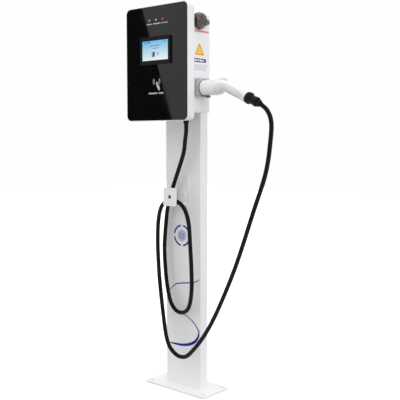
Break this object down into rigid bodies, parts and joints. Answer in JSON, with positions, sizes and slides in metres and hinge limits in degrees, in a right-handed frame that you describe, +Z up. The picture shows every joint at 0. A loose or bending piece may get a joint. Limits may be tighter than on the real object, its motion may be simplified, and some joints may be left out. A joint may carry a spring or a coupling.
{
  "type": "ev charging post",
  "caption": "Pedestal vehicle charging post: floor plate and steel column, wall box with display, guarded stop button, parked charging gun and looped cable.",
  "frame": {"origin": "centre of the base plate's underside", "axes": "+X to the right seen from the front, +Y to the back, +Z up"},
  "size_m": [0.6003, 0.237, 1.397],
  "materials": {
    "column_paint": "fine-textured white powder coat on folded steel",
    "screw_steel": "bright zinc-plated steel",
    "black_frame": "matt moulded black plastic",
    "zinc_sheet": "galvanised sheet steel",
    "white_shell": "satin moulded white ABS/PC",
    "seal_rubber": "moulded EPDM",
    "black_glass": "tempered glass printed black behind, glossy",
    "screen_glass": "clear cover lens",
    "screen": "lit display",
    "lamp_green": "clear moulded lamp",
    "lamp_yellow": "clear moulded lamp",
    "lamp_red": "clear moulded lamp",
    "board_green": "solder-masked circuit board",
    "brass": "turned brass",
    "device_grey": "moulded rail device case",
    "toggle_blue": "moulded toggle",
    "terminal_grey": "moulded polyamide",
    "plunger_black": "moulded acetal",
    "stop_red": "moulded red polyamide",
    "smoke_clear": "smoky clear polycarbonate",
    "holder_grey": "moulded light grey plastic",
    "nose_black": "moulded thermoset insulator",
    "gun_white": "satin moulded white PC",
    "gun_black": "soft black TPE over the cable end",
    "hanger_paint": "white powder coat on bent steel",
    "cable_black": "extruded black TPU jacket"
  },
  "bodies": {
    "root": {"base_plate": "column_paint", "post_column": "column_paint", "post_rear_cover": "column_paint", "post_cover_screws": "screw_steel", "post_top_cap": "black_frame", "mounting_bracket": "zinc_sheet", "bracket_bolts": "screw_steel", "rear_housing": "white_shell", "housing_screws": "screw_steel", "cover_gasket": "seal_rubber", "front_cover": "white_shell", "cover_screws": "screw_steel", "display_chassis": "zinc_sheet", "front_glass": "black_glass", "lcd_bezel": "black_frame", "lcd_lens": "screen_glass", "lcd_panel": "screen", "led_green": "lamp_green", "led_yellow": "lamp_yellow", "led_red": "lamp_red", "led_board": "board_green", "reader_board": "board_green", "control_board": "board_green", "board_standoffs": "brass", "din_rail": "zinc_sheet", "contactor": "device_grey", "breaker_body": "device_grey", "energy_meter": "device_grey", "terminal_block": "terminal_grey", "earth_bar": "brass", "supply_grommet": "seal_rubber", "cable_gland": "black_frame", "gland_nut": "black_frame", "gland_seal": "seal_rubber", "estop_barrel": "zinc_sheet", "estop_contacts": "device_grey", "guard_base": "smoke_clear", "guard_pin": "screw_steel", "gun_holder": "holder_grey", "holder_screws": "screw_steel", "holder_catch": "black_frame", "hanger_mount": "hanger_paint", "hanger_hook": "hanger_paint", "hanger_screws": "screw_steel", "charging_cable": "cable_black"},
    "guard_lid": {"guard_lid": "smoke_clear"},
    "stop_plunger": {"estop_plunger": "plunger_black"},
    "stop_head": {"estop_head": "stop_red"},
    "gun": {"gun_nose": "nose_black", "gun_contacts": "brass", "gun_seal": "seal_rubber", "gun_shell_left": "gun_white", "gun_shell_right": "gun_white", "gun_screws": "screw_steel", "latch_pin": "screw_steel", "gun_collar": "gun_black", "gun_boot": "gun_black"},
    "gun_latch": {"gun_latch": "gun_white"},
    "breaker_toggle": {"breaker_toggle": "toggle_blue"}
  },
  "joints": [
    {"name": "guard_hinge", "type": "hinge", "parent": "root", "child": "guard_lid", "pos_m": [0.147, -0.1196, 1.337], "axis": [0, 0, -1], "range_deg": [0, 90]},
    {"name": "stop_press", "type": "slide", "parent": "root", "child": "stop_plunger", "axis": [-1, 0, 0], "range_m": [0, 0.0045], "stiffness_N_per_m": 400},
    {"name": "stop_twist", "type": "hinge", "parent": "stop_plunger", "child": "stop_head", "pos_m": [0.1475, -0.088, 1.337], "axis": [-1, 0, 0], "range_deg": [0, 35], "stiffness_Nm_per_rad": 0.02},
    {"name": "gun_pull", "type": "slide", "parent": "root", "child": "gun", "axis": [1, 0, 0], "range_m": [0, 0.055], "deforming": ["charging_cable"]},
    {"name": "gun_latch_lever", "type": "hinge", "parent": "gun", "child": "gun_latch", "pos_m": [0.2052, -0.08, 1.1315], "axis": [0, 1, 0], "range_deg": [0, 2.2], "stiffness_Nm_per_rad": 0.5},
    {"name": "breaker_switch", "type": "hinge", "parent": "root", "child": "breaker_toggle", "pos_m": [-0.078, -0.105, 1.286], "axis": [1, 0, 0], "range_deg": [0, 70]}
  ]
}
